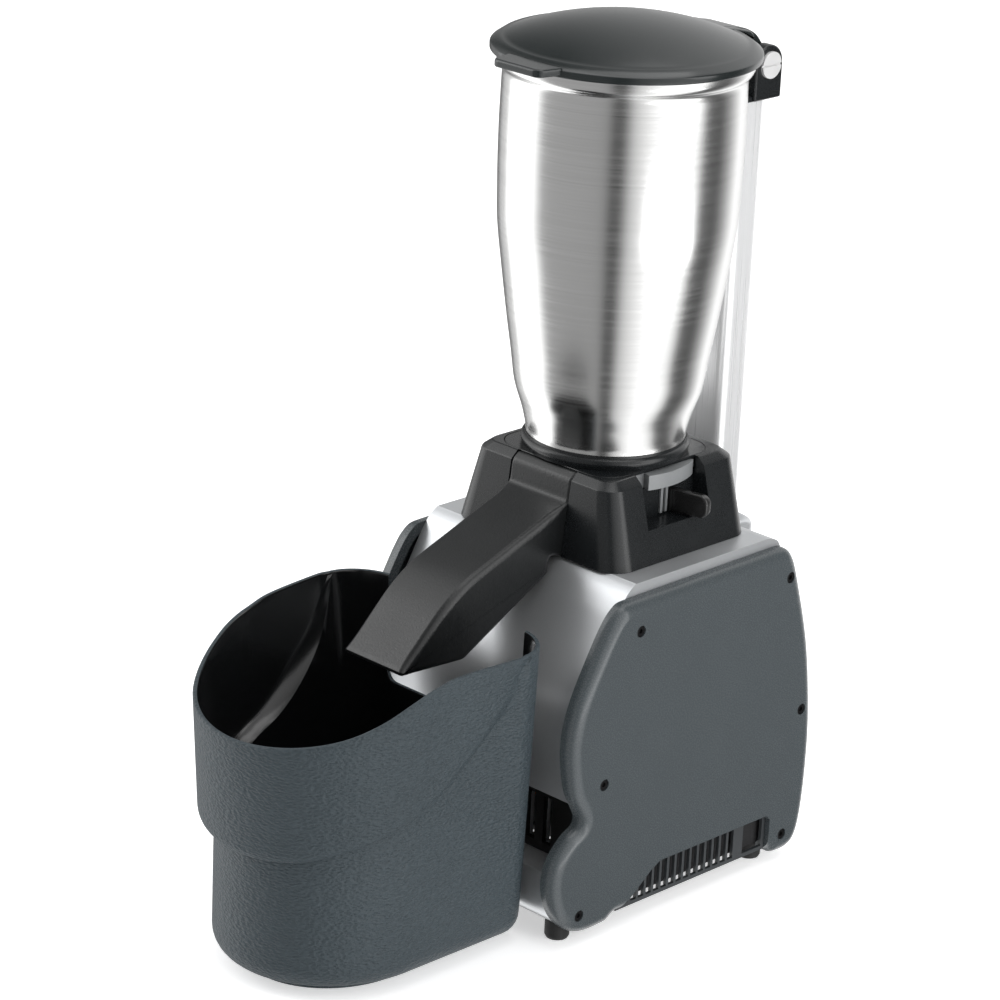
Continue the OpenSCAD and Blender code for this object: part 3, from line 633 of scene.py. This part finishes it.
# ---- Crushing head ----
# A black moulded housing, tapered, with a broad chamfer round its top. A plate is let into the top,
# a window in the right flank shows the fineness ring, and the spout's root fills a slot in front.
head_top = 236.0
chamber_r = 40.3
ring_seat_r = 43.7
levels = [(191.2, 60.3, -53, 54, 14), (212, 54.9, -50.5, 52.2, 12), (231.4, 49.75, -48.06, 50.55, 10),
          (232.2, 49.3, -47.6, 50.2, 9.9), (235.5, 45.4, -43.9, 46.4, 8.1),
          (head_top, 44.6, -43.1, 45.6, 7.9)]
housing = stack("head_shell", levels, crease_angle=60)
plate_seat = stack("plate_seat", [(z, 42.3, -42.3, 42.3, 15.3) for z in (head_top - 1.6, head_top + 2)])
cutters = [
    rod("chamber", chamber_r, 195, 238, (0, 0), 2, 96),
    rod("ring_seat", ring_seat_r, 225.5, 234.45, (0, 0), 2, 96),
    plate_seat,
    box("window", 42, 66, -24, 24, 208.5, 240),
    box("spout_slot", -21.85, 21.85, -70, -33, 190, 240),
]
arc_pocket = np.vstack([arc((0, 0), 48.9, -50, 38, 40), arc((0, 0), 42, 38, -50, 40)])
cutters.append(slab("arc_pocket", arc_pocket, 225.7, 234.4, axis=2))
carve(housing, cutters, edge=0.5, edge_angle=35, crease_angle=40)
head_black = moulded("fine_black", (0.009, 0.0105, 0.0115), 0.28, 1500.0, 0.00002, Specular_IOR_Level=0.42)
dress(housing, "frame", [head_black], ["crusher_housing"])

plate_plan = rounded_plan(42, -42, 42, 15)
top_plate = slab("top_plate", plate_plan, head_top - 1.6, head_top, high_edge=(0.5, 0.5), axis=2, steps=4)
carve(top_plate, [rod("plate_hole", 38.6, 230, 240, (0, 0), 2, 96)])
dress(top_plate, "frame", [head_black], ["housing_plate"])

# ---- Spout ----
# A black duct moulded in one with its root, which plugs into the head. Its long edges are rounded,
# it falls and then steepens, and its mouth opens straight down over the bin.
spout_half = 21.6
duct_top = through([(-49.3, 220.3), (-64.5, 214.6), (-80, 208.9), (-96, 202.9), (-112, 197), (-122, 192.6),
                    (-131.5, 186.7), (-140, 179.8), (-153, 167.4), (-166, 155)], 6)
duct = np.vstack([[(-35, 234.2), (-42, 234.2), (-43.2, 236), (-47.9, 232)], duct_top,
                  [(-164, 152.4), (-142, 151.2), (-120, 150), (-100, 161), (-80, 172.1), (-60, 183.2),
                   (-60, 191.3), (-35, 191.3)]])
duct = even(duct, 1.5, 1)
round_edge = 0.9 + 3.6 * np.clip((-50 - duct[:, 0]) / 10, 0, 1)
long_edge = (round_edge, 3.8)
spout = slab("spout_shell", duct, -spout_half, spout_half, long_edge, long_edge, crease_angle=36)
bore_top = through([(-50, 216), (-80, 205.4), (-111, 194), (-138, 177.4), (-160, 156.5)], 8)
bore = np.vstack([[(-30, 222)], bore_top,
                  [(-161, 146), (-121, 146), (-119.5, 153.4), (-60, 186.7), (-52, 195), (-30, 195)]])
spout_wall = 2.4
cutters = [slab("bore", bore, -spout_half + spout_wall, spout_half - spout_wall),
           rod("ring_room", ring_seat_r, 225.7, 240, (0, 0), 2, 96),
           rod("chamber", chamber_r, 180, 240, (0, 0), 2, 96)]
carve(spout, cutters, edge=0.3, edge_angle=60, crease_angle=36)
spout_black = moulded("grained_black", (0.009, 0.01, 0.0105), 0.32, 900.0, 0.00009, Specular_IOR_Level=0.42)
dress(spout, "frame", [spout_black], ["spout"])


# ---- Hopper and its collar ----
# The hopper is spun from brushed stainless sheet with a stepped rim. It is locked in a black
# collar that stands on the head.
def turned(name, profile, count=160, crease_angle=32):
    """A profile of (radius, z) points turned about the hopper's axis."""
    a = np.linspace(0, 2 * math.pi, count, endpoint=False)
    r, z = np.asarray(profile, float).T
    height = np.broadcast_to(z[:, None], (len(r), count))
    grid = np.stack([r[:, None] * np.cos(a), r[:, None] * np.sin(a), height], -1)
    return skin(name, grid, wrap_i=True, ends=False, crease_angle=crease_angle)


belly = through([(42.6, 238.6), (42.6, 244), (43.0, 248), (45.3, 257), (49.7, 271), (52.3, 288), (55.5, 308),
                 (59.1, 333), (62.2, 357), (63.1, 378), (63.5, 396), (63.5, 415), (63.1, 437)], 8)
lip = through([(63.1, 437), (63.6, 439), (65.4, 441), (66.3, 443), (66.5, 445.5), (66.4, 449)], 5)[1:]
outside = np.vstack([belly, lip])
rim_round = arc((65.8, 449.4), 0.6, 0, 180, 7)
hopper_wall = 1.2
hopper = turned("hopper_cup", np.vstack([outside, rim_round, (outside - (hopper_wall, 0))[::-1]]), 200)
steel = Finish("brushed_stainless", (0.72, 0.72, 0.715), 0.24, 1.0)
fine_lines = steel.noise(1.0, 4.0, steel.stretched((14, 14, 2600)))
broad_lines = steel.noise(1.0, 3.0, steel.stretched((5, 5, 420)))
steel.relief(fine_lines * 0.6 + broad_lines * 0.4, 0.000014)
steel.feed("Roughness", fine_lines * 0.16 + broad_lines * 0.08 + 0.1)
steel.tint((0.6, 0.6, 0.595), (0.84, 0.84, 0.835), fine_lines * 0.6 + broad_lines * 0.4)
dress(hopper, "frame", [steel], ["hopper"])

collar_out = np.vstack([[(38, 236), (43.8, 236)], arc((41.9, 239.5), 2.9, -40, 70, 12), [(42.9, 243.6)]])
collar = turned("collar_ring", np.vstack([collar_out, [(42.7, 243.4), (42.7, 238.4), (38, 238.4)]]))
dress(collar, "frame", [head_black], ["hopper_collar"])

# ---- Lid ----
# A shallow satin dome with a thumb tab in front and an arm that drops to the hinge.
# It swings up and back with its knuckle.
lid_black = moulded("satin_lid", (0.013, 0.0165, 0.0168), 0.2, 900.0, 0.000004, Specular_IOR_Level=0.45)
lid_top = 466.5
dome_radius = 170
dome = arc((0, lid_top - dome_radius), dome_radius, 90 - 22.0, 90, 26)
lid_profile = np.vstack([[(0.05, lid_top - 1.8), (62.4, 450.4), (67.4, 450.4), (67.4, 447.6)],
                         arc((69.0, 448.4), 1.0, -90, 0, 6), arc((68.6, 450.2), 1.4, 0, 62, 6),
                         dome[:1] + (1.6, 0.05), dome])
lid_profile[-1] = (0.05, lid_top)
lid_dome = turned("lid_dome", lid_profile, 200, crease_angle=40)
tab_plan = np.array([(-19, -66), (-16.5, -79), (-14, -81.2), (14, -81.2), (16.5, -79), (19, -66)], float)
tab_plan = even(tab_plan, 0.8, 3)
tab = slab("lid_tab", tab_plan, 448.6, 452.8, (0.8, 0.8), (1.4, 1.4), axis=2, steps=5)
carve(tab, [rod("rim_room", 67.5, 440, 450.3, (0, 0), 2, 96)])
arm_side = np.vstack([through([(58, 455.6), (68, 453.8), (78, 451.6), (86, 447.6), (91.4, 441.8)], 8),
                      [(91.5, 438), (76, 438.5), (72, 447.5), (67.8, 447.5), (67.8, 450.5), (58, 450.5)]])
arm_side = even(arm_side, 0.8, 1)
arm = slab("lid_arm", arm_side, -13, 13, (1.2, 1.2), (1.2, 1.2), steps=5)
hinge_at = (90, 432)
pin_bore = 3.06
knuckle_room = rod("knuckle_room", 9.35, -14, 14, hinge_at, 0)
carve(arm, [knuckle_room])
ear_side = np.array([(58, 450.5), (58, 455.4), (68, 453.6), (76, 451.6), (78.6, 449.6), (79, 446.6),
                     (70, 446.6), (69.8, 450.5)], float)
ear_side = even(ear_side, 0.6, 1)
ears = slab("lid_ears", ear_side, -18, 18, (1.4, 2.4), (1.4, 2.4), steps=6)
for piece in (lid_dome, tab, arm, ears):
    dress(piece, "lid", [lid_black])
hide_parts("lid")

# ---- Hinge ----
# A black block plugs into the top of the column and carries two round cheeks. A slotted steel pin
# goes through them and through the lid's knuckle.
cheek = np.vstack([arc(hinge_at, 10.5, 0, 180, 30), [(79.5, 413.2), (100.5, 413.2)]])
cheek = even(cheek, 0.9, 1)
hinge = slab("hinge_cheeks", cheek, -20, 20, (1.3, 1.3), (1.3, 1.3), steps=5)
carve(hinge, [box("knuckle_gap", -13.4, 13.4, 78, 102, 420.5, 450),
              rod("pin_hole", pin_bore, -21, 21, hinge_at, 0)], edge=0.3, edge_angle=50)
plug = stack("hinge_plug", [(398.4, 14.4, 74.6, 88.4, 3), (413.1, 14.4, 74.6, 88.4, 3),
                            (413.2, 18.3, 70.7, 92.3, 5), (415.6, 18.3, 70.7, 92.3, 5),
                            (416.2, 17.7, 71.3, 91.7, 5)])
carve(plug, [box("switch_room", -7, 7, 75, 88, 390, 412.2)])
for piece in (hinge, plug):
    dress(piece, "frame", [head_black])
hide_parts("hinge_block")
knuckle = slab("lid_barrel", arc(hinge_at, 9.3, 0, 360, 61)[:-1], -13, 13, (0.8, 0.8), (0.8, 0.8), steps=4)
magnet_bore = 2.6
magnet_at = (84, 429)
carve(knuckle, [rod("pin_hole", pin_bore, -14, 14, hinge_at, 0),
                rod("magnet_hole", magnet_bore, -4, 4, magnet_at, 0)])
dress(knuckle, "lid", [head_black], ["lid_knuckle"])

# ---- Fineness lever ----
# A glossy black blade with a round end, screwed to the ring behind the window.
blade = np.vstack([[(41, 209.5)], arc((62, 214.0), 4.5, -90, 0, 10), arc((62, 217.5), 4.5, 0, 90, 10),
                   [(41, 222)]])
blade = even(blade, 0.5, 2)
lever_angle = math.radians(10)
lever = slab("lever_blade", blade, -2.3, 2.3, (1.1, 1.1), (1.1, 1.1), axis=1, steps=6)
lever.data.transform(Matrix.Translation((0, axis_y, 0)) @ Matrix.Rotation(lever_angle, 4, "Z")
                     @ Matrix.Translation((0, -axis_y, 0)))
gloss_black = moulded("gloss_black", (0.012, 0.012, 0.012), 0.24, 500.0, 0.00001, Specular_IOR_Level=0.6)
dress(lever, "adjuster", [gloss_black], ["adjuster_lever"])

# ---- Parts kept as drawn ----
# The column, screws, grilles, feet, ring, switch and everything inside keep their own faces
# and take a finish each.
ring_grey = moulded("ring_grey", (0.2, 0.208, 0.213), 0.4, 1200.0, 0.00006)
grille_grey = moulded("grille_charcoal", (0.035, 0.039, 0.042), 0.42, 1400.0, 0.00005)
recess_black = moulded("recess_black", (0.004, 0.004, 0.004), 0.6, 900.0, 0.00005)
foot_rubber = moulded("foot_rubber", (0.012, 0.012, 0.012), 0.7, 900.0, 0.0001)
cream = moulded("cream_plastic", (0.5, 0.47, 0.38), 0.45, 900.0, 0.00004)
rocker_green = moulded("rocker_green", (0.008, 0.09, 0.03), 0.22, 500.0, 0.00001)
label_grey = moulded("blank_label", (0.55, 0.56, 0.57), 0.35, 1200.0, 0.00001)

column_satin = Finish("satin_column", (0.82, 0.825, 0.83), 0.3, 0.45)
drawn_lines = column_satin.noise(1.0, 3.0, column_satin.stretched((1400, 1400, 9)))
column_satin.relief(drawn_lines, 0.000006)
column_satin.feed("Roughness", drawn_lines * 0.2 + 0.2)
column_satin.tint((0.76, 0.765, 0.77), (0.88, 0.885, 0.89), drawn_lines)

black_screw = Finish("black_screw", (0.02, 0.02, 0.021), 0.32, 0.8)
black_screw.relief(black_screw.noise(900.0), 0.00005)
black_screw.feed("Roughness", black_screw.noise(300.0) * 0.3 + 0.2)
plain_steel = Finish("plain_steel", (0.6, 0.6, 0.6), 0.28, 1.0)
plain_steel.relief(plain_steel.noise(1200.0, 2.0), 0.00002)
plain_steel.feed("Roughness", plain_steel.noise(200.0) * 0.25 + 0.16)
pin_steel = Finish("turned_pin", (0.8, 0.8, 0.8), 0.42, 0.55)
pin_steel.relief(pin_steel.noise(900.0, 2.0), 0.00002)
pin_steel.feed("Roughness", pin_steel.noise(200.0) * 0.2 + 0.32)
cast_alloy = Finish("cast_alloy", (0.42, 0.43, 0.44), 0.5, 0.9)
cast_alloy.relief(cast_alloy.noise(700.0, 3.0), 0.0002)
cast_alloy.feed("Roughness", cast_alloy.noise(80.0) * 0.3 + 0.35)
core_steel = Finish("varnished_core", (0.12, 0.12, 0.13), 0.45, 0.7)
core_steel.relief(core_steel.noise(1.0, 1.0, core_steel.stretched((10, 10, 2000))), 0.0001)
copper = Finish("enamelled_copper", (0.55, 0.22, 0.08), 0.32, 0.9)
copper.relief(copper.noise(1.0, 2.0, copper.stretched((900, 900, 120))), 0.0003)

finish_of = {
    "column": column_satin, "adjuster_ring": ring_grey, "recess_panel": recess_black, "feet": foot_rubber,
    "terminal_block": cream, "capacitor": cream, "rocker": rocker_green, "rating_plate": label_grey,
    "upper_bracket": cast_alloy, "lower_bracket": cast_alloy, "stator": core_steel, "motor_rotor": core_steel,
    "windings": copper, "right_cover_screws": black_screw, "left_cover_screws": black_screw,
    "right_grille": grille_grey, "left_grille": grille_grey, "base_plate": grille_grey,
    "shaft_seal": foot_rubber, "cable_gland": head_black, "switch_body": head_black,
    "cooling_fan": head_black,
    "interlock_switch": cream, "hinge_pin": pin_steel,
}
for name, node in nodes.items():
    if not node.hide_render:
        node.data.materials.clear()
        node.data.materials.append(finish_of.get(name, plain_steel).material)
